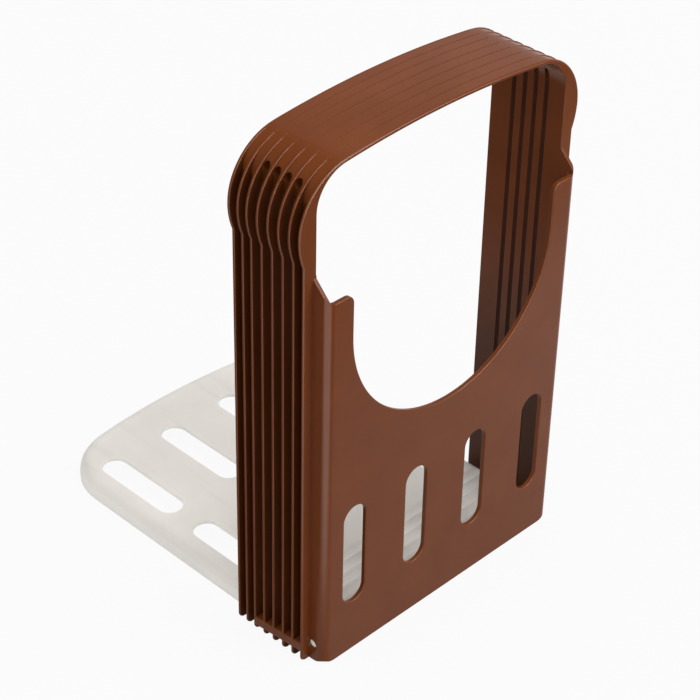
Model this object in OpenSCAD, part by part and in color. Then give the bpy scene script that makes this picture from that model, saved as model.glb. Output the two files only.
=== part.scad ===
// Bread slicer guide: an arch of guide ribs that a loaf is pushed through,
// with a folding tray that carries the loaf and swings up into the arch.
// The front plate faces -Y, the tray reaches towards +Y, and Z = 0 is the table.

/* [Overall] */
// Depth from the front plate's outer face to the back edge of the open tray
overall_d = 185.5; // [176:0.5:194]
// Height of the arch's head, from its neck to the crown's highest point
head_h = 42; // [38:0.5:50]
// Height of the neck over the top of the side walls beside the plate
neck_rise = 6.6; // [4:0.2:9]

/* [Front plate] */
// Width of the plate, over the two side walls
plate_w = 144; // [136:1:150]
// Thickness of the plate
plate_t = 2; // [1.6:0.1:2.6]
// Radius of the plate's two upright edges
plate_edge_r = 4; // [3:0.5:5]
// Radius that lifts the plate's two lower corners off the table
plate_foot_r = 4; // [3.5:0.5:6]
// How far in from each upright edge, on the diagonal, the lifted corner starts
plate_foot_reach = 3.1; // [2:0.1:4.2]
// Width of the ear on each side of the mouth
ear_w = 14.2; // [12:0.2:18]
// Radius of each ear's inner corner
ear_r = 4; // [2:0.5:6]
// Height of the side walls' slanting top over the ears, at the plate's outer face
slant_foot = 0.8; // [0.4:0.1:2]
// Rise of the side walls' slanting top, from the ears to the front rib
slant_rise = 9; // [6:0.5:12]

/* [Mouth] */
// Height of the lowest point of the mouth's round bottom
mouth_low_z = 105; // [96:1:112]
// Height of the ears over the mouth's lowest point
mouth_h = 77.4; // [72:0.2:84]

/* [Plate slots] */
// Number of slots side by side, in the plate and in each row of the tray
slot_n = 4; // [2:1:4]
// Distance from the plate's upright edge to the middle of the outer slot
slot_side = 17.4; // [14:0.2:24]
// Width of a slot in the plate
slot_w = 12.6; // [8:0.2:14]
// Length of a slot in the plate
slot_len = 51; // [30:1:56]
// Height of the lower end of the plate's slots
slot_low_z = 26.5; // [20:0.5:40]

/* [Arch] */
// Thickness of the two side walls
wall_t = 1.8; // [1.4:0.1:2.2]
// Thickness of the crown
crown_t = 1.8; // [1.5:0.1:3]
// Radius of the crown's long curve
crown_r = 489; // [440:1:560]
// Radius of the inner top corners
bay_corner_r = 16.5; // [14:0.5:18]
// Radius of the shoulders, where the crown runs down to the side walls
shoulder_r = 26.5; // [24:0.5:28]
// How far the shoulders' curve would reach past the side walls, which cut it off
shoulder_reach = 5.6; // [4.8:0.1:6]
// How far the head bulges out past the straight part of the ribs
head_bulge = 2.3; // [1.5:0.1:3]
// Radius of the head's two outer corners
head_corner_r = 27; // [25:0.5:29]

/* [Guide ribs] */
// How far the straight part of the ribs stands out from the side walls
rib_reach = 4.8; // [3.8:0.1:5.6]
// Thickness of a rib
rib_t = 1.2; // [0.9:0.1:1.4]
// Radius of a rib's outer lower corner
rib_foot_r = 2.8; // [1:0.2:4]
// Distance from the plate's outer face to the middle of the front rib
front_rib_y = 8.7; // [8:0.1:10]
// Spacing of the two front ribs, which hold no knife slit between them
front_pitch = 5.4; // [5:0.1:7]
// Spacing of the ribs on both sides of a knife slit
knife_pitch = 5.75; // [5.25:0.05:7]
// Spacing of the back ribs, which hold no knife slit between them
back_pitch = 4.9; // [4.5:0.1:6]
// Number of gaps with a knife slit, one for each thickness of slice
knife_n = 4; // [2:1:5]
// Number of gaps behind the knife slits
back_n = 2; // [1:1:3]

/* [Knife slits] */
// Width of a slit through the wall
slit_w = 2.25; // [1.6:0.05:2.5]
// How far a slit is cut in past the wall's inner face, where the shoulder is thicker
slit_reach = 0.4; // [0.2:0.1:0.8]
// Width of the wider pocket at the top of a slit
pocket_w = 3.4; // [3:0.1:3.8]
// Length of the pocket
pocket_len = 9; // [6:0.5:12]
// How far a pocket's top lies below the crown's highest point
pocket_drop = 10; // [9:0.5:12]

/* [Crown lines] */
// Width of the fine grooves across the crown, one over each rib but the front one
line_w = 0.6; // [0.4:0.1:1]
// Depth of the fine grooves
line_depth = 0.2; // [0.1:0.05:0.3]

/* [Foot band] */
// Height of the band that ties the ribs together near the table
band_h = 4.5; // [3:0.1:6]
// Height of the band's lower edge at the front rib
band_front_z = 5.8; // [4:0.1:7]
// Height of the band's lower edge at its back end
band_back_z = 2.8; // [1.5:0.1:5]

/* [Hinge] */
// Radius of the tray's two pins
pin_r = 2; // [1.5:0.1:2.2]
// Running clearance round a pin, on the radius
pin_gap = 0.08; // [0.05:0.01:0.1]
// How far the hinge's axis lies below the tray's top
pin_drop = 0.8; // [0.4:0.1:1.4]
// How far a pin's end stays behind the wall's outer face
pin_recess = 0.9; // [0.3:0.1:1.1]
// Chamfer on a pin's end
pin_chamfer = 0.35; // [0.1:0.05:0.5]

/* [Tray] */
// Running gap between the tray and each side wall
tray_gap = 0.3; // [0.2:0.05:0.8]
// Height of the tray's top
tray_top_z = 9.2; // [8.8:0.1:9.6]
// Thickness of the tray's skin
tray_t = 1.8; // [1.4:0.1:2.2]
// Radius of the tray's soft upper edge
tray_edge_r = 6.5; // [4:0.5:7]
// Radius of the tray's back corners, seen from above
tray_corner_r = 30; // [20:1:36]
// Radius of the tray's bowed back edge
tray_back_r = 340; // [260:10:500]
// Radius of the tray's nose round the hinge's axis
nose_r = 4; // [3.4:0.1:4.4]
// Gap between the nose and the plate
nose_gap = 0.8; // [0.5:0.1:1]
// Length of the ramp under the nose
nose_ramp = 6; // [3:0.5:8]
// Width of a slot in the tray
tray_slot_w = 12.4; // [8:0.2:14]
// Length of a slot in the tray
tray_slot_len = 50.5; // [30:0.5:54]
// Distance from the tray's back edge to the ends of the last row of slots
tray_slot_back = 23.5; // [20:0.5:28]
// Distance from one row of slots to the next
tray_row_pitch = 63.5; // [60:0.5:66]
// Number of rows of slots
tray_row_n = 2; // [1:1:2]
// Depth of the cross hollows under the knife slits
hollow_depth = 0.7; // [0.3:0.1:0.9]
// How far a crest between hollows lies in front of the middle of its slit
hollow_lead = 0.9; // [0:0.1:1.5]

/* [Hidden] */
$fn = 96;
// Facets of the crown's long curves
long_fn = 720;
// Overrun of a cut past the face that it leaves through
over = 1;
// Hair by which a round corner stands back from the curve that it joins
corner_step = 0.1;

ear_z = mouth_low_z + mouth_h;
slant_top_z = ear_z + slant_rise;
neck_z = slant_top_z + neck_rise;
crown_z = neck_z + head_h;
pocket_top_z = crown_z - pocket_drop;
pocket_low_z = pocket_top_z - pocket_len;

wall_x = plate_w / 2;
bay_x = wall_x - wall_t;
mouth_x = wall_x - ear_w;
slot_pitch = 2 * (wall_x - slot_side) / (slot_n - 1);
// Radius of the plate's two upright corners on the inside
inner_r = plate_edge_r - plate_t;
rib_x = wall_x + rib_reach;
head_x = rib_x + head_bulge;

front_face_y = front_rib_y - rib_t / 2;
knife_front_y = front_rib_y + front_pitch;
knife_back_y = knife_front_y + knife_n * knife_pitch;
// Middle of each rib, from the front one to the back one
rib_places = concat(
    [front_rib_y],
    [for (i = [0:knife_n]) knife_front_y + i * knife_pitch],
    [for (i = [1:back_n]) knife_back_y + i * back_pitch]
);
back_face_y = rib_places[len(rib_places) - 1] + rib_t / 2;
// Back side of each slit, which is the front face of the rib behind it
slit_backs = [for (i = [1:knife_n]) knife_front_y + i * knife_pitch - rib_t / 2];

crown_mid_z = crown_z - crown_r;
bay_crown_r = crown_r - crown_t;

// Height of a corner circle's middle, where it touches the inside of a larger circle
function corner_z(half_w, corner_r, big_r, big_z) =
    big_z + sqrt(pow(big_r - corner_r, 2) - pow(half_w - corner_r, 2));
function column_x(i) = (i - (slot_n - 1) / 2) * slot_pitch;
// Lower edge of the foot band at a place between the front rib and its back end
function band_low_z(y) =
    band_front_z
    + (band_back_z - band_front_z) * (y - front_rib_y) / (knife_back_y - front_rib_y);

head_mid_z = corner_z(head_x, head_corner_r, crown_r, crown_mid_z);
neck_r = (pow(head_mid_z - neck_z, 2) + pow(head_bulge, 2)) / (2 * head_bulge);

tray_x = bay_x - tray_gap;
pin_y = plate_t + nose_gap + nose_r;
pin_z = tray_top_z - pin_drop;
tray_back_mid_y = overall_d - tray_back_r;
hollow_r = (pow(knife_pitch / 2, 2) + pow(hollow_depth, 2)) / (2 * hollow_depth);
hollow_front_y = slit_backs[0] - slit_w / 2 - hollow_lead;
pin_l = wall_x - pin_recess - tray_x;
nose_cut = inner_r / 2;

// Upright slab between two distances from the plate's face, from an outline in X and Z
module slab(y0, y1) {
    translate([0, y1, 0])
        rotate([90, 0, 0])
            linear_extrude(y1 - y0)
                children();
}

// Crosswise bar from x0 to x1, from an outline in Y and Z
module bar(x0, x1) {
    translate([x0, 0, 0])
        rotate([90, 0, 90])
            linear_extrude(x1 - x0)
                children();
}

module both_sides() {
    children();
    mirror([1, 0, 0])
        children();
}

// Long upright slot with round ends, standing on its lower end
module stadium(width, length) {
    translate([0, width / 2])
        circle(d = width);
    translate([0, length - width / 2])
        circle(d = width);
    translate([-width / 2, width / 2])
        square([width, length - width]);
}

// Round top of an arch: a long curve between two round corners that touch it
module arch_cap(half_w, corner_r, big_r) {
    mid_x = half_w - corner_r;
    mid_z = corner_z(half_w, corner_r, big_r, crown_mid_z);
    reach = (big_r + over) / (big_r - corner_r);
    rise = mid_z - crown_mid_z;
    both_sides()
        translate([mid_x, mid_z])
            circle(r = corner_r);
    intersection() {
        translate([0, crown_mid_z])
            circle(r = big_r, $fn = long_fn);
        polygon([
            [-mid_x, mid_z],
            [mid_x, mid_z],
            [mid_x * reach, crown_mid_z + rise * reach],
            [mid_x * reach, crown_z + over],
            [-mid_x * reach, crown_z + over],
            [-mid_x * reach, crown_mid_z + rise * reach]
        ]);
    }
}

// Whole arch outline, with straight sides down to low_z
module arch_outline(half_w, corner_r, big_r, low_z) {
    mid_z = corner_z(half_w, corner_r, big_r, crown_mid_z);
    arch_cap(half_w, corner_r, big_r);
    translate([-half_w, low_z])
        square([2 * half_w, mid_z - low_z]);
}

// Outline of the space that the loaf goes through
module bay_outline() {
    arch_outline(bay_x, bay_corner_r, bay_crown_r, -over);
}

// Outline of a rib: straight legs, a neck, and the bulging head
module rib_outline() {
    arch_cap(head_x, head_corner_r, crown_r);
    both_sides()
        intersection() {
            translate([head_x - corner_step - neck_r, head_mid_z])
                circle(r = neck_r, $fn = long_fn);
            translate([0, neck_z - head_bulge])
                square([head_x, head_mid_z - neck_z + head_bulge]);
        }
    both_sides()
        translate([rib_x - rib_foot_r, rib_foot_r])
            circle(r = rib_foot_r);
    translate([-rib_x, rib_foot_r])
        square([2 * rib_x, head_mid_z - rib_foot_r]);
    translate([-rib_x + rib_foot_r, 0])
        square([2 * (rib_x - rib_foot_r), rib_foot_r]);
}

module mouth_outline() {
    mouth_mid_z = mouth_low_z + mouth_x;
    translate([0, mouth_mid_z])
        circle(r = mouth_x);
    translate([-mouth_x, mouth_mid_z])
        square([2 * mouth_x, crown_z - mouth_mid_z]);
    both_sides()
        difference() {
            translate([mouth_x - over, ear_z - ear_r])
                square([ear_r + over, ear_r + over]);
            translate([mouth_x + ear_r, ear_z - ear_r])
                circle(r = ear_r);
        }
}

// Plan of the plate and the two short walls that join it to the front rib
module channel_plan() {
    difference() {
        union() {
            both_sides()
                translate([wall_x - plate_edge_r, plate_edge_r])
                    circle(r = plate_edge_r);
            translate([-wall_x, plate_edge_r])
                square([plate_w, front_face_y - plate_edge_r + rib_t / 2]);
            translate([-wall_x + plate_edge_r, 0])
                square([plate_w - 2 * plate_edge_r, plate_edge_r]);
        }
        both_sides()
            translate([bay_x - inner_r, plate_t + inner_r])
                circle(r = inner_r);
        translate([-bay_x, plate_t + inner_r])
            square([2 * bay_x, front_rib_y]);
        translate([-bay_x + inner_r, plate_t])
            square([2 * (bay_x - inner_r), front_rib_y]);
    }
}

// Round cut that lifts one lower corner of the plate, square to the corner's diagonal
module corner_lift() {
    edge = (wall_x - 2 * plate_edge_r) / sqrt(2) + plate_edge_r;
    rotate([0, 0, -45])
        translate([edge - plate_foot_reach, 0, 0])
            difference() {
                translate([0, 0, -over])
                    cube([plate_foot_r + over, plate_w, plate_foot_r + over]);
                translate([0, -over, plate_foot_r])
                    rotate([-90, 0, 0])
                        cylinder(r = plate_foot_r, h = plate_w + 2 * over);
            }
}

module front_plate() {
    difference() {
        linear_extrude(slant_top_z)
            channel_plan();
        translate([-bay_x, -over, ear_z])
            cube([2 * bay_x, plate_t + inner_r + over, crown_z - ear_z]);
        bar(-wall_x - over, wall_x + over)
            polygon([
                [-over, ear_z + slant_foot],
                [0, ear_z + slant_foot],
                [front_face_y, slant_top_z],
                [front_rib_y + over, slant_top_z],
                [front_rib_y + over, slant_top_z + over],
                [-over, slant_top_z + over]
            ]);
        slab(-over, plate_t + over)
            mouth_outline();
        slab(-over, plate_t + over)
            for (i = [0:slot_n - 1])
                translate([column_x(i), slot_low_z])
                    stadium(slot_w, slot_len);
        both_sides()
            corner_lift();
    }
}

module arch_shell() {
    slab(front_face_y, back_face_y)
        difference() {
            intersection() {
                arch_outline(wall_x + shoulder_reach, shoulder_r, crown_r, 0);
                translate([-wall_x, 0])
                    square([plate_w, crown_z + over]);
            }
            bay_outline();
        }
}

module ribs() {
    for (y = rib_places)
        slab(y - rib_t / 2, y + rib_t / 2)
            difference() {
                rib_outline();
                bay_outline();
            }
}

// Sloping band on both flanks, from the front rib to the last rib of the knife gaps
module foot_band() {
    both_sides()
        bar(wall_x - wall_t / 2, rib_x)
            polygon([
                [front_rib_y, band_front_z],
                [knife_back_y, band_back_z],
                [knife_back_y, band_back_z + band_h],
                [front_rib_y, band_front_z + band_h]
            ]);
}

// One knife slit on each side, with the wider pocket at its top
module knife_slit(back_y) {
    slit_y = back_y - slit_w / 2;
    slit_low_z = band_low_z(slit_y) + band_h;
    both_sides()
        bar(bay_x - slit_reach, wall_x + over) {
            translate([slit_y, slit_low_z])
                stadium(slit_w, pocket_top_z - pocket_w / 2 - slit_low_z);
            translate([back_y - pocket_w / 2, pocket_low_z])
                stadium(pocket_w, pocket_len);
        }
}

// Fine V groove across the crown, over one rib
module crown_line(y) {
    spread = (wall_x + shoulder_reach - shoulder_r) / (crown_r - shoulder_r);
    intersection() {
        translate([0, y, crown_mid_z])
            rotate([90, 0, 0])
                rotate_extrude($fn = long_fn)
                    polygon([
                        [crown_r - line_depth, 0],
                        [crown_r + line_depth, line_w],
                        [crown_r + line_depth, -line_w]
                    ]);
        slab(y - line_w, y + line_w)
            polygon([
                [-spread * bay_crown_r, bay_crown_r + crown_mid_z - crown_t],
                [spread * bay_crown_r, bay_crown_r + crown_mid_z - crown_t],
                [spread * crown_r, crown_z + over],
                [-spread * crown_r, crown_z + over]
            ]);
    }
}

module hinge_holes() {
    both_sides()
        translate([bay_x - over, pin_y, pin_z])
            rotate([0, 90, 0])
                cylinder(r = pin_r + pin_gap, h = rib_x - bay_x + 2 * over);
}

module frame() {
    color("saddlebrown")
        translate([0, -overall_d / 2, 0])
            difference() {
                union() {
                    front_plate();
                    arch_shell();
                    ribs();
                    foot_band();
                }
                for (y = slit_backs)
                    knife_slit(y);
                for (i = [1:len(rib_places) - 1])
                    crown_line(rib_places[i]);
                hinge_holes();
            }
}

// End view of a plate from x = 0 to x = reach, with a soft upper edge there
module soft_edge(reach, inset, low_z) {
    top_z = tray_top_z - inset;
    edge_r = tray_edge_r - inset;
    translate([0, low_z])
        square([reach, top_z - edge_r - low_z]);
    translate([0, low_z])
        square([reach - edge_r, top_z - low_z]);
    intersection() {
        translate([reach - edge_r, top_z - edge_r])
            circle(r = edge_r);
        translate([0, top_z - edge_r])
            square([reach, edge_r]);
    }
}

// Round plate with the same soft upper edge
module soft_disc(reach, inset, low_z) {
    top_z = tray_top_z - inset;
    edge_r = tray_edge_r - inset;
    translate([0, 0, low_z])
        cylinder(r = reach, h = top_z - edge_r - low_z);
    translate([0, 0, low_z])
        cylinder(r = reach - edge_r, h = top_z - low_z);
    intersection() {
        translate([0, 0, top_z - edge_r])
            rotate_extrude()
                translate([reach - edge_r, 0])
                    circle(r = edge_r);
        translate([0, 0, top_z - edge_r])
            cylinder(r = reach + over, h = edge_r + over);
    }
}

// Tray body from a given distance behind the plate's face, without its hollow:
// a straight length, two round corners and a bowed back that meet face to face.
// inset and low_z give the shape of the hollow inside it.
module tray_body(front_y, inset = 0, low_z = 0) {
    corner_x = tray_x - tray_corner_r;
    rise = sqrt(pow(tray_back_r - tray_corner_r, 2) - pow(corner_x, 2));
    corner_y = tray_back_mid_y + rise;
    reach = (tray_back_r + over) / (tray_back_r - tray_corner_r);
    back_x = corner_x * reach;
    back_y = tray_back_mid_y + rise * reach;
    slab(front_y, corner_y)
        both_sides()
            soft_edge(tray_x - inset, inset, low_z);
    both_sides()
        intersection() {
            translate([corner_x, corner_y, 0])
                soft_disc(tray_corner_r - inset - corner_step, inset, low_z);
            translate([0, 0, low_z])
                linear_extrude(tray_top_z - low_z)
                    polygon([
                        [corner_x, corner_y],
                        [tray_x + over, corner_y],
                        [tray_x + over, back_y],
                        [back_x, back_y]
                    ]);
        }
    intersection() {
        translate([0, tray_back_mid_y, 0])
            soft_disc(tray_back_r - inset, inset, low_z, $fn = long_fn);
        translate([0, 0, low_z])
            linear_extrude(tray_top_z - low_z)
                polygon([
                    [-corner_x, corner_y],
                    [corner_x, corner_y],
                    [back_x, back_y],
                    [back_x, overall_d + over],
                    [-back_x, overall_d + over],
                    [-back_x, back_y]
                ]);
    }
}

// Nose that turns inside the frame: flat on top, round in front and below,
// with its two front corners cut to clear the plate's round inner corners
module tray_nose() {
    front_y = pin_y - nose_r;
    intersection() {
        bar(-tray_x, tray_x)
            intersection() {
                translate([pin_y, pin_z])
                    circle(r = nose_r);
                translate([front_y, pin_z - nose_r])
                    square([2 * nose_r, tray_top_z - pin_z + nose_r]);
            }
        linear_extrude(tray_top_z + over)
            polygon([
                [-tray_x + nose_cut, front_y - over],
                [-tray_x + nose_cut, front_y],
                [-tray_x, front_y + nose_cut],
                [-tray_x - over, pin_y + nose_r + over],
                [tray_x + over, pin_y + nose_r + over],
                [tray_x, front_y + nose_cut],
                [tray_x - nose_cut, front_y],
                [tray_x - nose_cut, front_y - over]
            ]);
    }
}

module tray_slots() {
    for (row = [0:tray_row_n - 1], i = [0:slot_n - 1])
        translate([
            column_x(i),
            overall_d - tray_slot_back - row * tray_row_pitch - tray_slot_len,
            0
        ])
            linear_extrude(tray_top_z + over)
                stadium(tray_slot_w, tray_slot_len);
}

// Shallow cross hollows with sharp crests between them
module cross_hollows() {
    for (i = [0:knife_n - 1])
        bar(-tray_x - over, tray_x + over)
            translate([
                hollow_front_y + (i + 1 / 2) * knife_pitch,
                tray_top_z - hollow_depth + hollow_r
            ])
                circle(r = hollow_r);
}

module tray_pins() {
    both_sides()
        translate([tray_x, pin_y, pin_z])
            rotate([0, 90, 0]) {
                cylinder(r = pin_r, h = pin_l - pin_chamfer);
                translate([0, 0, pin_l - pin_chamfer])
                    cylinder(r1 = pin_r, r2 = pin_r - pin_chamfer, h = pin_chamfer);
            }
}

module tray() {
    hollow_y = pin_y + nose_r + tray_t;
    color("whitesmoke")
        translate([0, -overall_d / 2, 0])
            difference() {
                union() {
                    tray_body(pin_y);
                    tray_nose();
                    tray_pins();
                }
                tray_body(hollow_y, tray_t, -over);
                bar(-tray_x - over, tray_x + over)
                    polygon([
                        [pin_y - nose_r, -over],
                        [pin_y + nose_ramp, -over],
                        [pin_y + nose_ramp, 0],
                        [pin_y, pin_z - nose_r],
                        [pin_y - nose_r, pin_z - nose_r]
                    ]);
                tray_slots();
                cross_hollows();
            }
}

frame();
tray();
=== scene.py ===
# Looks of the bread slicer guide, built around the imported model: the brown arch of guide
# ribs and the frosted folding tray, as meshes with moulded edges and procedural plastics.
# The outlines below are in millimetres, with Y = 0 on the plate's outer face.
import math

import bmesh
import bpy
from mathutils import Matrix, Vector


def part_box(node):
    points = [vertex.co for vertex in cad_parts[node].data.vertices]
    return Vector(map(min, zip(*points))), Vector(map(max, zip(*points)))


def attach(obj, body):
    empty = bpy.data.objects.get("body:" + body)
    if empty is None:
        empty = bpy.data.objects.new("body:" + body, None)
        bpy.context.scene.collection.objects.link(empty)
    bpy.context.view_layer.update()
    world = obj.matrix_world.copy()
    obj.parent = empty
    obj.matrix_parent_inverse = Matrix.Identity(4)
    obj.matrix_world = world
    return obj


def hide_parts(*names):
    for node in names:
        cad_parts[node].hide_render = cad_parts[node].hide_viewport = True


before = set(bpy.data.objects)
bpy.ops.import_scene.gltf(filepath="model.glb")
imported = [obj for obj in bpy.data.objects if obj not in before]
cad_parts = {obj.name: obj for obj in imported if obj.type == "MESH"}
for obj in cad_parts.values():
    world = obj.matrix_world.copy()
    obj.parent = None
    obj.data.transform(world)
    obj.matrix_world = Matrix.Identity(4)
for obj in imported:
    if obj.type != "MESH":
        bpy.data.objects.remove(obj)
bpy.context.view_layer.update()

MM = 0.001
FACE_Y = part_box("frame")[0].y
# How far a cut runs past what it cuts
OVER = 1.0
# Hair that keeps two surfaces from lying in one another
HAIR = 0.03
STEP_DEG = 6.0
LONG_STEP_DEG = 0.5
ROUND_STEPS = 4
SHARP_DEG = 28.0
# Part of a face's normal that lies along an axis, for a face square to it or in line with it
SQUARE = 0.99
IN_LINE = 0.01

# Arch and ribs
CROWN_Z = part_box("frame")[1].z / MM
CROWN_R = 489.0
CROWN_MID_Z = CROWN_Z - CROWN_R
HEAD_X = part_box("frame")[1].x / MM
HEAD_R = 27.0
NECK_Z = 198.0
NECK_STEPS = 9
RIB_X = 76.8
RIB_T = 1.2
RIB_FOOT_R = 2.8
RIB_EDGE_R = 0.45
FRONT_RIB_EDGE_R = 0.9
WALL_X = 72.0
WALL_T = 1.8
BAY_X = WALL_X - WALL_T
BAY_R = 16.5
BAY_EDGE_R = 0.45
SHOULDER_OUT = 5.6
SHOULDER_X = WALL_X + SHOULDER_OUT
SHOULDER_R = 26.5
SHOULDER_TURN = 50.0
BACK_Y = (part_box("frame")[1].y - FACE_Y) / MM

FRONT_RIB_Y = 8.7
FRONT_FACE_Y = FRONT_RIB_Y - RIB_T / 2
FRONT_PITCH = 5.4
KNIFE_PITCH = 5.75
BACK_PITCH = 4.9
KNIFE_N = 4
BACK_N = 2
KNIFE_FRONT_Y = FRONT_RIB_Y + FRONT_PITCH
KNIFE_BACK_Y = KNIFE_FRONT_Y + KNIFE_N * KNIFE_PITCH
RIB_PLACES = (
    [FRONT_RIB_Y]
    + [KNIFE_FRONT_Y + i * KNIFE_PITCH for i in range(KNIFE_N + 1)]
    + [KNIFE_BACK_Y + i * BACK_PITCH for i in range(1, BACK_N + 1)]
)

# Front plate with its ears, mouth and slots
PLATE_T = 2.0
PLATE_R = 4.0
PLATE_EDGE_R = 0.5
FOOT_R = 4.0
FOOT_REACH = 3.1
FOOT_TURN = 45.0
EAR_Z = 182.4
EAR_R = 4.0
EAR_STEP = 0.8
SLANT_LOW_Z = EAR_Z + EAR_STEP
SLANT_TOP_Z = 191.4
MOUTH_X = 57.8
MOUTH_LOW_Z = 105.0
MOUTH_MID_Z = MOUTH_LOW_Z + MOUTH_X
SLOT_N = 4
SLOT_PITCH = 36.4
SLOT_W = 12.6
SLOT_LOW_Z = 26.5
SLOT_LEN = 51.0

# Knife slits: each goes on as a groove inside and a pocket outside, with a web between them
SLIT_W = 2.25
POCKET_W = 3.4
POCKET_LEN = 9.0
POCKET_DROP = 10.0
POCKET_TOP_Z = CROWN_Z - POCKET_DROP
POCKET_LOW_Z = POCKET_TOP_Z - POCKET_LEN
SLIT_TOP_Z = POCKET_LOW_Z - OVER
GROOVE_TOP_Z = 225.2
GROOVE_DEPTH = 0.3
GROOVE_FLOOR_X = BAY_X + GROOVE_DEPTH
WEB_T = 0.6
POCKET_FLOOR_X = GROOVE_FLOOR_X + WEB_T
POCKET_HEAD_LEN = 3.8
POCKET_HEAD_DEPTH = 1.8
POCKET_HEAD_X = BAY_X - POCKET_HEAD_DEPTH

# Lines over the crown, and the band across the ribs' feet
LINE_W = 0.6
LINE_DEPTH = 0.2
BAND_H = 4.5
BAND_FRONT_Z = 5.8
BAND_BACK_Z = 2.8

# Hinge pins
PIN_R = 2.0
PIN_GAP = 0.08
PIN_Y = 6.8
PIN_Z = 8.4
PIN_RECESS = 0.9
PIN_END_X = WALL_X - PIN_RECESS
PIN_CHAMFER = 0.35

# Tray
TRAY_GAP = 0.3
TRAY_X = BAY_X - TRAY_GAP
TRAY_TOP_Z = 9.2
TRAY_T = 1.8
TRAY_EDGE_R = 6.5
TRAY_CORNER_R = 30.0
TRAY_BACK_R = 340.0
TRAY_BACK_Y = (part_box("tray")[1].y - FACE_Y) / MM
NOSE_R = 4.0
NOSE_CUT = 1.0
NOSE_RAMP = 6.0
TRAY_SLOT_W = 12.4
TRAY_SLOT_LEN = 50.5
TRAY_SLOT_BACK = 23.5
TRAY_ROW_PITCH = 63.5
TRAY_ROW_N = 2
TRAY_SLOT_EDGE_R = 0.6
HOLLOW_DEPTH = 0.7
HOLLOW_LEAD = 0.9

# Brown plastic: linear colours, noise by the metre, and shade (under 1 it is painted shade), specular level
# and roughness
BROWN_DARK = (0.155, 0.039, 0.009)
BROWN_LIGHT = (0.172, 0.044, 0.011)
MOTTLE_SPREAD = (0.35, 0.65)
MOTTLE_SCALE = 45.0
MOTTLE_DETAIL = 4.0
POLISHED = (1.0, 0.25, 0.22)
# The duller copy, for the knife gaps: its shade of 0.55 is painted shade, its gloss and roughness make it
# duller
DULL_PAINTED_SHADE = (0.55, 0.05, 0.5)
BROWN_IOR = 1.5
# Painted shade on the walls' inner faces: their colour falls to this share towards their feet, between
# these heights in metres
LOW_SHADE = 0.4
LOW_SHADE_Z = (0.05, 0.14)

# Frosted plastic: the glow's depth is in metres, and its reach is the same in every colour
FROST_DARK = (0.67, 0.635, 0.595)
FROST_LIGHT = (0.725, 0.69, 0.65)
CLOUD_SPREAD = (0.3, 0.7)
CLOUD_SCALE = 28.0
CLOUD_DETAIL = 3.0
STREAK_SHADE = (0.95, 0.95, 0.95)
STREAK_SPREAD = (0.26, 0.42)
STREAK_STRETCH = (3.0, 0.35, 1.0)
STREAK_SCALE = 60.0
STREAK_DETAIL = 1.0
FROST_ROUGHNESS = 0.45
GLOW_SHARE = 0.7
GLOW_DEPTH = 0.003
GLOW_BY_COLOUR = (1.0, 1.0, 1.0)
# Painted light: strength and colour of a faint glow on the tray's faces that don't face up
PAINTED_SIDE_GLOW = 0.24
PAINTED_GLOW_COLOUR = (0.95, 0.95, 0.92)

# Mould texture of both plastics: scale, detail and strength of the noise, and its height
BROWN_GRAIN = (260.0, 3.0, 0.03)
FROST_GRAIN = (420.0, 2.0, 0.05)
GRAIN_HEIGHT = 0.0005

# Light of the studio: soft light by height, and what the gloss mirrors, by direction
WHITE = (1, 1, 1)
HORIZON = 0.42
CEILING = 1.15
CEILING_HEIGHT = 0.8
SKY_GLOSS = (0.52, 0.3)
SKY_GLOSS_Z = (0.4, 0.65)
LEFT_SHADE = 0.1
LEFT_SHADE_X = (0.1, 0.5)
FRONT_GLOSS = 8.5
FRONT_GLOSS_Y = (-0.85, -0.55)
KEY_PLACE = (0.6, -1.3, 1.6)
KEY_AIM = (0, 0, 0.1)
KEY_SIZE = 1.0
KEY_WATTS = 17

# Floor, and what the gloss mirrors there by place, in metres
FLOOR_SIZE = 6.0
FLOOR_DROP = 0.0002
FLOOR_SHADE = 0.45
FLOOR_ROUGHNESS = 0.9
FLOOR_WHITE = 0.93
CARD_GLOSS = 3.0
SHADE_GLOSS = 0.1
CARD_BACK_Y = (-0.16, -0.06)
CARD_RIGHT_X = (-0.14, -0.06)
OPEN_GLOSS = (0.5, 0.78)
OPEN_GLOSS_X = (0.0, 0.25)
OPEN_FRONT_SHADE = 0.1
OPEN_FRONT_Y = (-0.34, -0.2)

# Kinds of ray that the floor and the world answer in their own way, with the share of each
SEEING_RAYS = {"Is Camera Ray": 1.0, "Is Transmission Ray": 1.0}
FLOOR_RAYS = {"Is Camera Ray": FLOOR_WHITE, "Is Transmission Ray": FLOOR_WHITE}
MIRRORING_RAYS = {"Is Glossy Ray": 1.0}

# The photograph's view: focal length and frame in pixels, place in millimetres
FOCAL_PX = 2127.62
PHOTO_PX = 700
SENSOR_W = 36.0
CAMERA_PLACE = (-535.879, -463.393, 626.800)
CAMERA_RIGHT = (0.706192, -0.707806, 0.017427)
CAMERA_AHEAD = (0.585307, 0.569769, -0.576870)

# Places of the sockets that a mix node uses for colours and for numbers
MIX_COLOURS = (6, 7)
MIX_COLOUR_OUT = 2
MIX_NUMBERS = (2, 3)


def arc(mid, radius, start, end, step=STEP_DEG):
    """Points on a circle from one angle to another, in degrees."""
    count = max(2, math.ceil(abs(end - start) / step))
    angles = [math.radians(start + (end - start) * i / count) for i in range(count + 1)]
    return [(mid[0] + radius * math.cos(a), mid[1] + radius * math.sin(a)) for a in angles]


def mirrored(half):
    """A whole outline from its right half, which ends at or near x = 0."""
    return half + [(-x, z) for x, z in reversed(half) if abs(x) > HAIR / 10]


def corner_mid(half_w, corner_r, big_r, big_z=CROWN_MID_Z):
    """Middle of a round corner that touches a long curve, and the angle of their seam."""
    x = half_w - corner_r
    rise = math.sqrt((big_r - corner_r) ** 2 - x**2)
    return (x, big_z + rise), math.degrees(math.atan2(rise, x))


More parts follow.
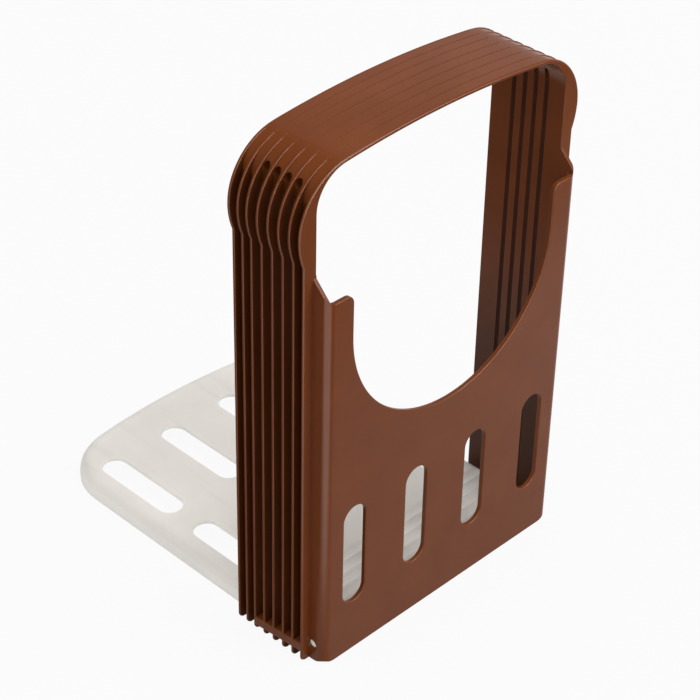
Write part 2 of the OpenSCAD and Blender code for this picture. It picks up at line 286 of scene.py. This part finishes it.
def arch_outline(half_w, corner_r, big_r, low_z):
    """Outline of an arch, as a function of the distance by which it is drawn in."""
    mid, seam = corner_mid(half_w, corner_r, big_r)

    def outline(inset):
        half = [(half_w - inset, low_z)]
        half += arc(mid, corner_r - inset, 0, seam)
        half += arc((0, CROWN_MID_Z), big_r - inset, seam, 90, LONG_STEP_DEG)[1:]
        return mirrored(half)

    return outline


def shoulder_outline(inset):
    """Outline of the arch under the ribs, whose shoulders tighten where they meet the walls."""
    mid, seam = corner_mid(SHOULDER_X, SHOULDER_R, CROWN_R)
    turn = math.radians(SHOULDER_TURN)
    tight_r = (WALL_X - mid[0] - SHOULDER_R * math.cos(turn)) / (1 - math.cos(turn))
    spare = SHOULDER_R - tight_r
    tight_mid = (mid[0] + spare * math.cos(turn), mid[1] + spare * math.sin(turn))
    half = [(WALL_X - inset, 0)]
    half += arc(tight_mid, tight_r - inset, 0, SHOULDER_TURN)
    half += arc(mid, SHOULDER_R - inset, SHOULDER_TURN, seam)[1:]
    half += arc((0, CROWN_MID_Z), CROWN_R - inset, seam, 90, LONG_STEP_DEG)[1:]
    return mirrored(half)


def rib_outline(inset):
    """Outline of a rib: round foot, straight leg, neck and bulging head."""
    mid, seam = corner_mid(HEAD_X, HEAD_R, CROWN_R - HAIR)
    neck_out = HEAD_X - RIB_X
    neck_r = ((mid[1] - NECK_Z) ** 2 + neck_out**2) / (2 * neck_out)
    turn = math.degrees(math.acos((neck_r - inset - neck_out) / (neck_r - inset)))
    neck_step = turn / (NECK_STEPS - 0.5)
    half = arc((RIB_X - RIB_FOOT_R, RIB_FOOT_R), RIB_FOOT_R - inset, -90, 0, 2 * STEP_DEG)
    half += arc((HEAD_X - neck_r, mid[1]), neck_r - inset, -turn, 0, neck_step)[:-1]
    half += arc(mid, HEAD_R - inset, 0, seam)
    half += arc((0, CROWN_MID_Z), CROWN_R - HAIR - inset, seam, 90, LONG_STEP_DEG)[1:]
    return mirrored(half)


def stadium_outline(mid_x, low, width, length):
    """Outline of a long slot with round ends, standing on its lower end."""

    def outline(inset):
        r = width / 2
        upper = arc((mid_x, low + length - r), r - inset, 0, 180)
        return upper + arc((mid_x, low + r), r - inset, 180, 360)

    return outline


def circle_outline(mid, radius):
    return lambda inset: arc(mid, radius - inset, 0, 360)[:-1]


def rounded(outline, low, high, low_r=0.0, high_r=0.0):
    """Outlines and levels of a solid between two levels, with its ends rounded over."""
    turns = [math.pi / 2 * i / ROUND_STEPS for i in range(ROUND_STEPS + 1)]
    rings = [(outline(low_r * (1 - math.sin(a))), low + low_r * (1 - math.cos(a))) for a in turns]
    if low_r == 0:
        rings = [(outline(0), low)]
    if high_r == 0:
        return rings + [(outline(0), high)]
    ends = [(high_r * (1 - math.sin(a)), high - high_r * (1 - math.cos(a))) for a in turns]
    return rings + [(outline(inset), level) for inset, level in reversed(ends)]


def flared(outline, low, high, low_r=0.0, high_r=0.0):
    """The same for a cut that leaves round edges where it enters and leaves a wall."""
    rings = rounded(lambda inset: outline(-inset), low, high, low_r, high_r)
    return [(outline(-low_r), low - OVER)] + rings + [(outline(-high_r), high + OVER)]


def closed_mesh(name, rows):
    """Closed mesh through rows of points, all of them rings of as many points."""
    bm = bmesh.new()
    rings = [[bm.verts.new(point) for point in row] for row in rows]
    count = len(rings[0])
    for ring, following in zip(rings, rings[1:]):
        for i in range(count):
            j = (i + 1) % count
            bm.faces.new((ring[i], ring[j], following[j], following[i]))
    bm.faces.new(rings[0])
    bm.faces.new(rings[-1])
    bmesh.ops.recalc_face_normals(bm, faces=bm.faces)
    mesh = bpy.data.meshes.new(name)
    bm.to_mesh(mesh)
    bm.free()
    piece = bpy.data.objects.new(name, mesh)
    bpy.context.scene.collection.objects.link(piece)
    return piece


def solid(name, rings, axis):
    """Closed mesh through a row of outlines, each at its level along one axis."""
    place = {
        "x": lambda u, v, level: (level, u, v),
        "y": lambda u, v, level: (u, level, v),
        "z": lambda u, v, level: (u, v, level),
    }[axis]
    return closed_mesh(name, [[place(u, v, level) for u, v in points] for points, level in rings])


def both_sides(name, outline, low, high, low_r=0.0, high_r=0.0, make=rounded):
    """A bar between two levels on the right, and its mirror image on the left."""
    rings = make(outline, low, high, low_r, high_r)
    left = [(points, -level) for points, level in rings]
    return [solid(name, rings, "x"), solid(name, left, "x")]


def combine(target, others, operation):
    """Joins other solids to one, cuts them from it, or keeps what they share."""
    group = bpy.data.collections.new("operands")
    bpy.context.scene.collection.children.link(group)
    for other in others:
        bpy.context.scene.collection.objects.unlink(other)
        group.objects.link(other)
    modifier = target.modifiers.new(operation.title(), "BOOLEAN")
    modifier.operation = operation
    modifier.operand_type = "COLLECTION"
    modifier.collection = group
    modifier.solver = "MANIFOLD"
    result = target.evaluated_get(bpy.context.evaluated_depsgraph_get())
    target.data = bpy.data.meshes.new_from_object(result)
    target.modifiers.clear()
    for other in others:
        bpy.data.objects.remove(other)
    bpy.data.collections.remove(group)
    return target


def plate_outline(inset):
    """Front view of the plate: ears on both sides of a round-bottomed mouth."""
    reach = WALL_X + 2 * PLATE_R
    top = EAR_Z - inset
    ear_x = MOUTH_X + EAR_R
    points = [(-reach, -OVER), (reach, -OVER), (reach, top)]
    points += arc((ear_x, EAR_Z - EAR_R), EAR_R - inset, 90, 180)
    points += arc((0, MOUTH_MID_Z), MOUTH_X + inset, 0, -180, STEP_DEG / 2)
    points += arc((-ear_x, EAR_Z - EAR_R), EAR_R - inset, 0, 90)
    return points + [(-reach, top)]


def side_wall_outline(inset):
    """Side view of the short wall between the plate and the front rib."""
    return [
        (-OVER, -OVER),
        (FRONT_RIB_Y, -OVER),
        (FRONT_RIB_Y, SLANT_TOP_Z - inset),
        (FRONT_FACE_Y, SLANT_TOP_Z - inset),
        (0, SLANT_LOW_Z - inset),
        (-OVER, SLANT_LOW_Z - inset),
    ]


def corner_outline(inset):
    """Side view of the wall's inner corner, which ends at the ears."""
    return [(-OVER, -OVER), (FRONT_RIB_Y, -OVER), (FRONT_RIB_Y, EAR_Z), (-OVER, EAR_Z)]


def channel_plan(inset):
    """Plan of the plate with its two upright corners rounded."""
    half = arc((WALL_X - PLATE_R, PLATE_R), PLATE_R - inset, 270, 360)
    half.append((WALL_X - inset, FRONT_RIB_Y))
    return half + [(-x, y) for x, y in reversed(half)]


def corner_lifts():
    """Round cuts that lift the plate's two lower corners off the table."""
    points = arc((0, FOOT_R), FOOT_R, -90, 0)
    points += [(FOOT_R + OVER, FOOT_R), (FOOT_R + OVER, -OVER), (0, -OVER)]
    edge = (WALL_X - 2 * PLATE_R) / math.sqrt(2) + PLATE_R
    reach = Matrix.Translation((edge - FOOT_REACH, 0, 0))
    lifts = []
    for side in (1, -1):
        lift = solid("lift", [(points, 0), (points, 2 * WALL_X)], "y")
        turn = Matrix.Rotation(math.radians(-FOOT_TURN), 4, "Z") @ reach
        lift.data.transform(Matrix.Diagonal((side, 1, 1, 1)) @ turn)
        if side < 0:
            lift.data.flip_normals()
        lifts.append(lift)
    return lifts


def plate_body():
    """Front plate with the short walls behind it, up to the front rib."""
    plate = solid("plate", rounded(plate_outline, 0, PLATE_T, PLATE_EDGE_R, PLATE_EDGE_R / 2), "y")
    walls = both_sides("wall", side_wall_outline, BAY_X, WALL_X, PLATE_EDGE_R / 2, PLATE_EDGE_R)
    walls += both_sides("corner", corner_outline, WALL_X - PLATE_R, WALL_X - PLATE_EDGE_R)
    combine(plate, walls, "UNION")
    plan = solid("plan", [(channel_plan(0), 0), (channel_plan(0), CROWN_Z)], "z")
    return combine(plate, [plan], "INTERSECT")


def band_low_z(y):
    """Height of the band's lower edge, which falls towards the back."""
    share = (y - FRONT_RIB_Y) / (KNIFE_BACK_Y - FRONT_RIB_Y)
    return BAND_FRONT_Z + (BAND_BACK_Z - BAND_FRONT_Z) * share


def band_outline(inset):
    return [
        (FRONT_RIB_Y, BAND_FRONT_Z + inset),
        (KNIFE_BACK_Y, BAND_BACK_Z + inset),
        (KNIFE_BACK_Y, BAND_BACK_Z + BAND_H - inset),
        (FRONT_RIB_Y, BAND_FRONT_Z + BAND_H - inset),
    ]


def knife_cuts():
    """Slits through both side walls, each with its blind groove, pocket and pocket head."""
    cuts = []
    inside_x = BAY_X - BAY_R
    outside_x = WALL_X + OVER
    for i in range(1, KNIFE_N + 1):
        back_y = KNIFE_FRONT_Y + i * KNIFE_PITCH - RIB_T / 2 - HAIR
        slit_y = back_y - SLIT_W / 2
        pocket_y = back_y - POCKET_W / 2
        low_z = band_low_z(slit_y) + BAND_H
        slit = stadium_outline(slit_y, low_z, SLIT_W, SLIT_TOP_Z - low_z)
        groove = stadium_outline(slit_y, low_z + OVER, SLIT_W, GROOVE_TOP_Z - low_z - OVER)
        pocket = stadium_outline(pocket_y, POCKET_LOW_Z, POCKET_W, POCKET_LEN)
        head = stadium_outline(pocket_y, POCKET_TOP_Z - POCKET_HEAD_LEN, POCKET_W, POCKET_HEAD_LEN)
        cuts += both_sides("cut", slit, inside_x, outside_x)
        cuts += both_sides("cut", groove, inside_x, GROOVE_FLOOR_X)
        cuts += both_sides("cut", pocket, POCKET_FLOOR_X, outside_x)
        cuts += both_sides("cut", head, POCKET_HEAD_X, outside_x)
    return cuts


def crown_lines():
    """Fine V grooves across the crown, one over each rib but the front one."""
    _, seam = corner_mid(SHOULDER_X, SHOULDER_R, CROWN_R)
    inner = arc((0, CROWN_MID_Z), CROWN_R - LINE_DEPTH, 180 - seam, seam, LONG_STEP_DEG)
    outer = arc((0, CROWN_MID_Z), CROWN_R + LINE_DEPTH, 180 - seam, seam, LONG_STEP_DEG)
    lines = []
    for y in RIB_PLACES[1:]:
        rows = [
            [(x0, y, z0), (x1, y - LINE_W, z1), (x1, y + LINE_W, z1)]
            for (x0, z0), (x1, z1) in zip(inner, outer)
        ]
        lines.append(closed_mesh("line", rows))
    return lines


def bay_cuts():
    """The space for the loaf, with soft edges at the back and over the mouth."""
    bay = arch_outline(BAY_X, BAY_R, CROWN_R - WALL_T, -OVER)
    inner_r = PLATE_R - PLATE_T
    front = rounded(bay, PLATE_T, BACK_Y, inner_r, 0)[:-1]
    back = flared(bay, PLATE_T, BACK_Y, 0, BAY_EDGE_R)[2:]
    rim = arch_outline(BAY_X, BAY_R, CROWN_R - WALL_T, SLANT_TOP_Z + OVER)
    rim_rings = flared(rim, FRONT_FACE_Y, KNIFE_FRONT_Y, BAY_EDGE_R, 0)
    return [solid("bay", front + back, "y"), solid("rim", rim_rings, "y")]


def slot_x(i):
    """Middle of one slot in a row, on the plate or the tray."""
    return (i - (SLOT_N - 1) / 2) * SLOT_PITCH


def plate_slots():
    cuts = []
    for i in range(SLOT_N):
        outline = stadium_outline(slot_x(i), SLOT_LOW_Z, SLOT_W, SLOT_LEN)
        rings = flared(outline, 0, PLATE_T, PLATE_EDGE_R, PLATE_EDGE_R / 2)
        cuts.append(solid("slot", rings, "y"))
    return cuts


def guide_arch():
    """The brown moulding: arch, plate, ribs and bands, less all that is cut from them."""
    rings = rounded(shoulder_outline, FRONT_FACE_Y, BACK_Y, FRONT_RIB_EDGE_R, RIB_EDGE_R)
    whole = solid("guide_arch", rings, "y")
    added = [plate_body()]
    for y in RIB_PLACES:
        front_r = FRONT_RIB_EDGE_R if y == FRONT_RIB_Y else RIB_EDGE_R
        rings = rounded(rib_outline, y - RIB_T / 2, y + RIB_T / 2, front_r, RIB_EDGE_R)
        added.append(solid("rib", rings, "y"))
    added += both_sides("band", band_outline, WALL_X - WALL_T / 2, RIB_X, 0, RIB_EDGE_R)
    combine(whole, added, "UNION")
    hole = circle_outline((PIN_Y, PIN_Z), PIN_R + PIN_GAP)
    cuts = bay_cuts() + plate_slots() + knife_cuts() + crown_lines() + corner_lifts()
    cuts += both_sides("hole", hole, BAY_X, WALL_X, 0, RIB_EDGE_R, flared)
    return combine(whole, cuts, "DIFFERENCE")


def tray_plan(front_y, wall=0.0):
    """Plan of the tray, or of the space inside its wall, with a bowed back edge."""
    back_mid_y = TRAY_BACK_Y - TRAY_BACK_R
    mid, seam = corner_mid(TRAY_X, TRAY_CORNER_R, TRAY_BACK_R, back_mid_y)

    def outline(inset):
        drawn_in = inset + wall
        half = [(TRAY_X - drawn_in, front_y)]
        half += arc(mid, TRAY_CORNER_R - drawn_in, 0, seam)
        half += arc((0, back_mid_y), TRAY_BACK_R - drawn_in, seam, 90, LONG_STEP_DEG)[1:]
        return mirrored(half)

    return outline


def nose_outline(inset):
    """Side view of the tray's round nose, which carries the pin."""
    mid = (PIN_Y, PIN_Z)
    radius = NOSE_R - inset
    rise = TRAY_TOP_Z - PIN_Z - inset
    back = math.degrees(math.asin(rise / radius))
    round_end = arc(mid, radius, 360, 180) + arc(mid, radius, 180, 180 - back)[1:]
    return round_end + [(PIN_Y + NOSE_R - inset, PIN_Z + rise)]


def tray_slots():
    cuts = []
    for row in range(TRAY_ROW_N):
        low = TRAY_BACK_Y - TRAY_SLOT_BACK - row * TRAY_ROW_PITCH - TRAY_SLOT_LEN
        for i in range(SLOT_N):
            outline = stadium_outline(slot_x(i), low, TRAY_SLOT_W, TRAY_SLOT_LEN)
            rings = flared(outline, TRAY_TOP_Z - TRAY_T, TRAY_TOP_Z, TRAY_SLOT_EDGE_R / 2, TRAY_SLOT_EDGE_R)
            cuts.append(solid("slot", rings, "z"))
    return cuts


def cross_hollows():
    """Four shallow hollows across the tray, with sharp crests between them."""
    radius = ((KNIFE_PITCH / 2) ** 2 + HOLLOW_DEPTH**2) / (2 * HOLLOW_DEPTH)
    start_y = KNIFE_FRONT_Y + KNIFE_PITCH - RIB_T / 2 - SLIT_W / 2 - HOLLOW_LEAD
    cuts = []
    for i in range(KNIFE_N):
        mid = (start_y + (i + 0.5) * KNIFE_PITCH, TRAY_TOP_Z - HOLLOW_DEPTH + radius)
        rings = rounded(circle_outline(mid, radius), -TRAY_X - OVER, TRAY_X + OVER)
        cuts.append(solid("hollow", rings, "x"))
    return cuts


def folding_tray():
    """The frosted moulding: a rimmed sheet, open underneath, with its noses and pins."""
    tray = solid("folding_tray", rounded(tray_plan(PIN_Y), 0, TRAY_TOP_Z, 0, TRAY_EDGE_R), "z")
    added = both_sides("nose", nose_outline, -HAIR, TRAY_X, 0, NOSE_CUT)
    pin = circle_outline((PIN_Y, PIN_Z), PIN_R)
    added += both_sides("pin", pin, TRAY_X - NOSE_CUT, PIN_END_X, 0, PIN_CHAMFER)
    combine(tray, added, "UNION")
    inside = tray_plan(PIN_Y + NOSE_R + TRAY_T, TRAY_T)
    ramp = [
        (PIN_Y - NOSE_R - OVER, -OVER),
        (PIN_Y + NOSE_RAMP, -OVER),
        (PIN_Y + NOSE_RAMP, 0),
        (PIN_Y, PIN_Z - NOSE_R),
        (PIN_Y - NOSE_R - OVER, PIN_Z - NOSE_R),
    ]
    cuts = [
        solid("inside", rounded(inside, -OVER, TRAY_TOP_Z - TRAY_T, 0, TRAY_EDGE_R - TRAY_T), "z"),
        solid("ramp", [(ramp, -TRAY_X - OVER), (ramp, TRAY_X + OVER)], "x"),
    ]
    return combine(tray, cuts + tray_slots() + cross_hollows(), "DIFFERENCE")


def finish_mesh(piece, material, body, node):
    """Brings a piece from outline millimetres into the frame, smooth-shaded, on its body."""
    piece.data.transform(Matrix.Translation((0, FACE_Y, 0)) @ Matrix.Scale(MM, 4))
    piece.data.polygons.foreach_set("use_smooth", [True] * len(piece.data.polygons))
    piece.data.set_sharp_from_angle(angle=math.radians(SHARP_DEG))
    weighted = piece.modifiers.new("Weighted", "WEIGHTED_NORMAL")
    weighted.keep_sharp = True
    piece.data.materials.clear()
    piece.data.materials.append(material)
    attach(piece, body)
    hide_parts(node)


def give_gaps_painted_shade(mesh, material):
    """Gives the knife gaps and the walls' outer faces a duller copy of the material whose colour is
    darkened by about half: painted shade.
    """
    mesh.materials.append(material)
    walls = (WALL_X, GROOVE_FLOOR_X, POCKET_FLOOR_X, POCKET_HEAD_X)
    for face in mesh.polygons:
        nearest = min(abs(mesh.vertices[i].co.x) for i in face.vertices) / MM
        y = (face.center.y - FACE_Y) / MM
        z = face.center.z / MM
        in_gaps = FRONT_RIB_Y < y < BACK_Y - OVER
        at_wall = y > FRONT_RIB_Y and min(abs(nearest - x) for x in walls) < HAIR
        at_ends = in_gaps and SLIT_TOP_Z - SLIT_W < z < POCKET_TOP_Z + HAIR
        on_rib = abs(face.normal.y) > SQUARE and nearest > HEAD_X - HEAD_R and in_gaps
        on_wall = abs(face.normal.x) > SQUARE and at_wall
        on_end = abs(face.normal.x) < IN_LINE and at_ends
        if on_rib or on_wall or on_end:
            face.material_index = 1


def new_material(name):
    material = bpy.data.materials.new(name)
    material.use_nodes = True
    return material, material.node_tree, material.node_tree.nodes["Principled BSDF"]


def feed(tree, socket, value):
    """Gives a socket another node's output, or a value of its own."""
    if isinstance(value, bpy.types.NodeSocket):
        tree.links.new(value, socket)
    else:
        socket.default_value = value


def calc(tree, operation, *values):
    node = tree.nodes.new("ShaderNodeMath")
    node.operation = operation
    for socket, value in zip(node.inputs, values):
        feed(tree, socket, value)
    return node.outputs["Value"]


def axes(tree, vector):
    node = tree.nodes.new("ShaderNodeSeparateXYZ")
    tree.links.new(vector, node.inputs["Vector"])
    return node.outputs


def noise(tree, place, scale, detail):
    node = tree.nodes.new("ShaderNodeTexNoise")
    node.inputs["Scale"].default_value = scale
    node.inputs["Detail"].default_value = detail
    tree.links.new(place, node.inputs["Vector"])
    return node.outputs["Fac"]


def ramped(tree, factor, spread, colours):
    """Runs from one colour to another between two places of a factor."""
    node = tree.nodes.new("ShaderNodeValToRGB")
    for element, position, colour in zip(node.color_ramp.elements, spread, colours):
        element.position = position
        element.color = (*colour, 1)
    tree.links.new(factor, node.inputs["Fac"])
    return node.outputs["Color"]


def tinted(tree, colour, tint):
    """A colour times another colour or a share."""
    node = tree.nodes.new("ShaderNodeMix")
    node.data_type = "RGBA"
    node.blend_type = "MULTIPLY"
    node.inputs["Factor"].default_value = 1.0
    for place, value in zip(MIX_COLOURS, (colour, tint)):
        tree.links.new(value, node.inputs[place])
    return node.outputs[MIX_COLOUR_OUT]


def blended(tree, factor, first, second):
    """Mix of two numbers."""
    node = tree.nodes.new("ShaderNodeMix")
    node.data_type = "FLOAT"
    tree.links.new(factor, node.inputs["Factor"])
    for place, value in zip(MIX_NUMBERS, (first, second)):
        feed(tree, node.inputs[place], value)
    return node.outputs["Result"]


def span(tree, source, ends, values):
    """Runs smoothly from one value to another between two ends of a source."""
    node = tree.nodes.new("ShaderNodeMapRange")
    node.interpolation_type = "SMOOTHSTEP"
    for name, value in zip(("From Min", "From Max", "To Min", "To Max"), (*ends, *values)):
        node.inputs[name].default_value = value
    tree.links.new(source, node.inputs["Value"])
    return node.outputs["Result"]


def grain(tree, shader, place, scale, detail, strength):
    """Fine mould texture."""
    bump = tree.nodes.new("ShaderNodeBump")
    bump.inputs["Strength"].default_value = strength
    bump.inputs["Distance"].default_value = GRAIN_HEIGHT
    tree.links.new(noise(tree, place, scale, detail), bump.inputs["Height"])
    tree.links.new(bump.outputs["Normal"], shader.inputs["Normal"])


def low_shade(tree, place):
    """Painted shade: darkens the side walls' inner faces towards their feet."""
    at = axes(tree, place)
    wall_x = (BAY_X + HAIR) * MM
    plate_y = FACE_Y + PLATE_T * MM
    between = span(tree, calc(tree, "ABSOLUTE", at["X"]), (wall_x, wall_x + MM), (1.0, 0.0))
    behind = span(tree, at["Y"], (plate_y, plate_y + MM), (0.0, 1.0))
    by_height = span(tree, at["Z"], LOW_SHADE_Z, (LOW_SHADE, 1.0))
    return blended(tree, calc(tree, "MULTIPLY", between, behind), 1.0, by_height)


def brown_abs(name, shade, gloss, roughness):
    """Moulded brown plastic, faintly mottled."""
    material, tree, shader = new_material(name)
    place = tree.nodes.new("ShaderNodeTexCoord").outputs["Object"]
    # A shade under 1 darkens the colour: painted shade for the knife gaps
    tones = [[shade * part for part in tone] for tone in (BROWN_DARK, BROWN_LIGHT)]
    mottle = ramped(tree, noise(tree, place, MOTTLE_SCALE, MOTTLE_DETAIL), MOTTLE_SPREAD, tones)
    # The colour carries painted shade low on the walls' inner faces
    feed(tree, shader.inputs["Base Color"], tinted(tree, mottle, low_shade(tree, place)))
    feed(tree, shader.inputs["Roughness"], roughness)
    feed(tree, shader.inputs["IOR"], BROWN_IOR)
    feed(tree, shader.inputs["Specular IOR Level"], gloss)
    grain(tree, shader, place, *BROWN_GRAIN)
    return material


def frosted_white():
    """Frosted natural polypropylene: cloudy, faintly streaked, scattering light under its skin, and with
    painted light: faces that don't face up glow faintly.
    """
    material, tree, shader = new_material("frosted_white")
    coord = tree.nodes.new("ShaderNodeTexCoord")
    place = coord.outputs["Object"]
    tones = (FROST_DARK, FROST_LIGHT)
    cloud = ramped(tree, noise(tree, place, CLOUD_SCALE, CLOUD_DETAIL), CLOUD_SPREAD, tones)
    stretch = tree.nodes.new("ShaderNodeMapping")
    feed(tree, stretch.inputs["Vector"], place)
    feed(tree, stretch.inputs["Scale"], STREAK_STRETCH)
    lengths = noise(tree, stretch.outputs["Vector"], STREAK_SCALE, STREAK_DETAIL)
    streak = ramped(tree, lengths, STREAK_SPREAD, (STREAK_SHADE, WHITE))
    feed(tree, shader.inputs["Base Color"], tinted(tree, cloud, streak))
    feed(tree, shader.inputs["Roughness"], FROST_ROUGHNESS)
    # Painted light: faces glow by emission, fully where they face sideways or down, not at all where they
    # face up
    upward = axes(tree, coord.outputs["Normal"])["Z"]
    feed(tree, shader.inputs["Emission Strength"], span(tree, upward, (0.0, 1.0), (PAINTED_SIDE_GLOW, 0.0)))
    feed(tree, shader.inputs["Emission Color"], (*PAINTED_GLOW_COLOUR, 1))
    feed(tree, shader.inputs["Subsurface Weight"], GLOW_SHARE)
    feed(tree, shader.inputs["Subsurface Radius"], GLOW_BY_COLOUR)
    feed(tree, shader.inputs["Subsurface Scale"], GLOW_DEPTH)
    grain(tree, shader, place, *FROST_GRAIN)
    return material


def ray_share(tree, shares):
    """Sum of kinds of ray, each times its share."""
    path = tree.nodes.new("ShaderNodeLightPath")
    total = 0.0
    for kind, share in shares.items():
        total = calc(tree, "MULTIPLY_ADD", path.outputs[kind], share, total)
    return total


def mixed(tree, factor, *shaders):
    """Mix of two shaders, or of one shader and nothing."""
    node = tree.nodes.new("ShaderNodeMixShader")
    for socket, value in zip(node.inputs, (factor, *shaders)):
        tree.links.new(value, socket)
    return node.outputs["Shader"]


def white_light(tree, kind, strength):
    """A white light shader, of the kind that a surface or the world takes."""
    node = tree.nodes.new(kind)
    feed(tree, node.inputs["Color"], (*WHITE, 1))
    feed(tree, node.inputs["Strength"], strength)
    return node.outputs[0]


def mirrored_floor(tree):
    """What the gloss sees of the floor: a pale card in front on the left, and shade behind it."""
    at = axes(tree, tree.nodes.new("ShaderNodeTexCoord").outputs["Object"])
    card = span(tree, at["Y"], CARD_BACK_Y, (CARD_GLOSS, SHADE_GLOSS))
    across = span(tree, at["X"], OPEN_GLOSS_X, OPEN_GLOSS)
    along = span(tree, at["Y"], OPEN_FRONT_Y, (OPEN_FRONT_SHADE, 1.0))
    right = span(tree, at["X"], CARD_RIGHT_X, (0.0, 1.0))
    return blended(tree, right, card, calc(tree, "MULTIPLY", across, along))


def mirrored_sky(tree, toward):
    """What the gloss sees over the floor: a dim sky, shade on the left, a bright strip in front."""
    by_height = span(tree, toward["Z"], SKY_GLOSS_Z, SKY_GLOSS)
    by_side = span(tree, toward["X"], LEFT_SHADE_X, (LEFT_SHADE, 1.0))
    in_front = span(tree, toward["Y"], FRONT_GLOSS_Y, (FRONT_GLOSS, 0.0))
    return calc(tree, "MULTIPLY_ADD", by_height, by_side, in_front)


def pale_floor():
    """A wide pale floor that stays almost white and keeps a faint shadow."""
    bpy.ops.mesh.primitive_plane_add(size=FLOOR_SIZE, location=(0, 0, -FLOOR_DROP))
    floor = bpy.context.object
    floor.name = "floor"
    material, tree, shader = new_material("pale_floor")
    feed(tree, shader.inputs["Base Color"], (FLOOR_SHADE, FLOOR_SHADE, FLOOR_SHADE, 1))
    feed(tree, shader.inputs["Roughness"], FLOOR_ROUGHNESS)
    feed(tree, shader.inputs["Specular IOR Level"], 0.0)
    glossy = ray_share(tree, MIRRORING_RAYS)
    seen = ray_share(tree, FLOOR_RAYS)
    strength = blended(tree, glossy, seen, mirrored_floor(tree))
    glow = white_light(tree, "ShaderNodeEmission", strength)
    dimmed = mixed(tree, ray_share(tree, FLOOR_RAYS | MIRRORING_RAYS), shader.outputs["BSDF"])
    both = tree.nodes.new("ShaderNodeAddShader")
    for socket, value in zip(both.inputs, (glow, dimmed)):
        tree.links.new(value, socket)
    tree.links.new(both.outputs["Shader"], tree.nodes["Material Output"].inputs["Surface"])
    floor.data.materials.append(material)


def world_light():
    """White behind everything, and light that falls off from the ceiling to the horizon."""
    world = bpy.data.worlds.new("studio")
    bpy.context.scene.world = world
    world.use_nodes = True
    tree = world.node_tree
    toward = axes(tree, tree.nodes.new("ShaderNodeTexCoord").outputs["Generated"])
    tones = [(level, level, level) for level in (HORIZON, CEILING)]
    soft = tree.nodes["Background"]
    feed(tree, soft.inputs["Color"], ramped(tree, toward["Z"], (0.0, CEILING_HEIGHT), tones))
    feed(tree, soft.inputs["Strength"], 1.0)
    glossy = ray_share(tree, MIRRORING_RAYS)
    mirrored_light = white_light(tree, "ShaderNodeBackground", mirrored_sky(tree, toward))
    lighting = mixed(tree, glossy, soft.outputs["Background"], mirrored_light)
    white = white_light(tree, "ShaderNodeBackground", 1.0)
    whole = mixed(tree, ray_share(tree, SEEING_RAYS), lighting, white)
    tree.links.new(whole, tree.nodes["World Output"].inputs["Surface"])


def key_lamp():
    """A large lamp in front on the right, above the camera."""
    data = bpy.data.lights.new("key", "AREA")
    data.shape = "SQUARE"
    data.size = KEY_SIZE
    data.energy = KEY_WATTS
    lamp = bpy.data.objects.new("key", data)
    bpy.context.scene.collection.objects.link(lamp)
    lamp.location = KEY_PLACE
    lamp.rotation_euler = (Vector(KEY_AIM) - Vector(KEY_PLACE)).to_track_quat("-Z", "Y").to_euler()


def photo_camera():
    """The photograph's view."""
    data = bpy.data.cameras.new("camera")
    data.sensor_width = SENSOR_W
    data.lens = FOCAL_PX / PHOTO_PX * SENSOR_W
    camera = bpy.data.objects.new("camera", data)
    bpy.context.scene.collection.objects.link(camera)
    right = Vector(CAMERA_RIGHT).normalized()
    ahead = Vector(CAMERA_AHEAD).normalized()
    up = right.cross(ahead).normalized()
    turn = Matrix((right, up, -ahead)).transposed().to_4x4()
    x, y, z = (MM * part for part in CAMERA_PLACE)
    camera.matrix_world = Matrix.Translation((x, y + FACE_Y, z)) @ turn
    bpy.context.scene.camera = camera


photo_camera()
arch = guide_arch()
finish_mesh(arch, brown_abs("brown_abs", *POLISHED), "frame", "frame")
give_gaps_painted_shade(arch.data, brown_abs("brown_abs_painted_gap_shade", *DULL_PAINTED_SHADE))
finish_mesh(folding_tray(), frosted_white(), "tray", "tray")
pale_floor()
world_light()
key_lamp()

bpy.context.scene.view_settings.view_transform = "Standard"
